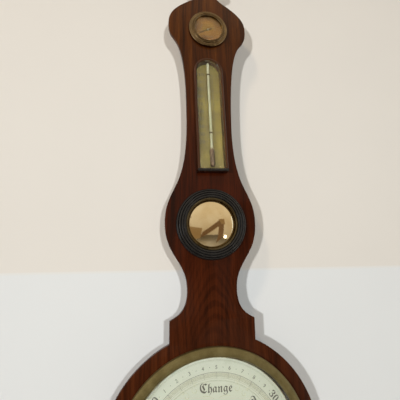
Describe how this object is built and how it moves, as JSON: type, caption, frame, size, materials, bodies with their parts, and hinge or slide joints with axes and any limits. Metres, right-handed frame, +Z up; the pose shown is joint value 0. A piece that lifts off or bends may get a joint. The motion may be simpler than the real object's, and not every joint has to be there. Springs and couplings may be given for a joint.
{
  "type": "wheel barometer",
  "caption": "Wall-hung wheel barometer: onion-topped wooden case with round dial, hygrometer, boxed thermometer, convex mirror, spirit level and mercury siphon mechanism.",
  "frame": {"origin": "the eye of the keyhole in the hanging plate, in the plane of the case's back", "axes": "+Z up along the case, +X to the right of someone facing the dial, +Y from the dial into the wall"},
  "size_m": [0.318, 0.0537, 1.073],
  "materials": {
    "rosewood": "french polished",
    "ebonised": "ebonised and polished",
    "deal": "planed",
    "silvered_brass": "matt silvered",
    "lacquered_brass": "aged lacquer",
    "blued_steel": "blued",
    "glass": "polished",
    "mirror": "silvered glass",
    "mercury": "liquid",
    "bone": "turned bone",
    "silk": "waxed thread",
    "cork": "cork",
    "straw": "oat beard"
  },
  "bodies": {
    "case": {"bezel": "lacquered_brass", "bezel_glass": "glass", "bezel_pin_1": "lacquered_brass", "bezel_pin_2": "lacquered_brass", "bezel_pin_3": "lacquered_brass", "bezel_pin_4": "lacquered_brass", "case_body": "rosewood", "case_veneer": "rosewood", "counterweight_thread": "silk", "dial_plate": "silvered_brass", "float_thread": "silk", "hanging_plate": "lacquered_brass", "hinge_lower_case_leaf": "lacquered_brass", "hinge_upper_case_leaf": "lacquered_brass", "hygrometer_beard": "straw", "hygrometer_bezel": "lacquered_brass", "hygrometer_dial": "lacquered_brass", "hygrometer_glass": "glass", "knob_collar": "lacquered_brass", "level_plate": "silvered_brass", "level_vial": "glass", "mercury_column": "mercury", "mercury_short": "mercury", "mirror_backing": "deal", "mirror_frame": "ebonised", "mirror_glass": "mirror", "mirror_slip": "lacquered_brass", "set_cord": "silk", "siphon_tube": "glass", "thermometer_clip_lower": "lacquered_brass", "thermometer_clip_upper": "lacquered_brass", "thermometer_frame": "rosewood", "thermometer_mercury": "mercury", "thermometer_plate": "silvered_brass", "thermometer_sill": "ebonised", "thermometer_tube": "glass", "thermometer_window": "glass", "tube_cover": "deal", "tube_wedge_lower": "cork", "tube_wedge_upper": "cork", "wheel_bridge": "lacquered_brass"},
    "door": {"back_door": "deal", "hinge_upper_door_leaf": "lacquered_brass", "hinge_lower_door_leaf": "lacquered_brass"},
    "button": {"turn_button": "lacquered_brass"},
    "pressure_hand": {"pressure_hand": "blued_steel", "hand_cap": "lacquered_brass", "hand_arbor": "lacquered_brass", "thread_wheel": "lacquered_brass"},
    "set_hand": {"set_hand": "lacquered_brass", "set_pipe": "lacquered_brass", "set_wheel": "lacquered_brass"},
    "set_knob": {"set_knob": "bone", "set_spindle": "lacquered_brass", "set_spindle_wheel": "lacquered_brass"},
    "float": {"float": "glass"},
    "counterweight": {"counterweight": "glass"},
    "hygrometer_hand": {"hygrometer_hand": "lacquered_brass"},
    "level_bubble": {"level_bubble": "glass"}
  },
  "joints": [
    {"name": "door_hinge", "type": "hinge", "parent": "case", "child": "door", "pos_m": [-0.052, -0.0015, -0.705], "axis": [0, 0, 1], "range_deg": [0, 100]},
    {"name": "button_turn", "type": "hinge", "parent": "case", "child": "button", "pos_m": [0.058, -0.00125, -0.754], "axis": [0, 1, 0], "range_deg": [0, 90]},
    {"name": "pressure_hand_turn", "type": "hinge", "parent": "case", "child": "pressure_hand", "pos_m": [0, -0.038, -0.705], "axis": [0, 1, 0], "range_deg": [-227.7, 85.5]},
    {"name": "float_rise", "type": "slide", "parent": "case", "child": "float", "axis": [0, 0, 1], "range_m": [-0.0105, 0.0279], "deforming": ["float_thread", "mercury_short"]},
    {"name": "counterweight_rise", "type": "slide", "parent": "case", "child": "counterweight", "axis": [0, 0, 1], "range_m": [-0.0279, 0.0105], "deforming": ["counterweight_thread", "mercury_column"]},
    {"name": "set_hand_turn", "type": "hinge", "parent": "case", "child": "set_hand", "pos_m": [0, -0.035, -0.705], "axis": [0, 1, 0], "continuous": true},
    {"name": "set_knob_turn", "type": "hinge", "parent": "case", "child": "set_knob", "pos_m": [0, -0.04, -0.8575], "axis": [0, 1, 0], "continuous": true},
    {"name": "hygrometer_hand_turn", "type": "hinge", "parent": "case", "child": "hygrometer_hand", "pos_m": [0, -0.0384, -0.034], "axis": [0, 1, 0], "range_deg": [-60, 140]},
    {"name": "level_bubble_slide", "type": "slide", "parent": "case", "child": "level_bubble", "axis": [1, 0, 0], "range_m": [-0.011, 0.011]}
  ],
  "couplings": [
    {"joint": "float_rise", "follows": "pressure_hand_turn", "m_per_rad": -0.007},
    {"joint": "counterweight_rise", "follows": "pressure_hand_turn", "m_per_rad": 0.007},
    {"joint": "set_knob_turn", "follows": "set_hand_turn", "ratio": 1.5}
  ]
}
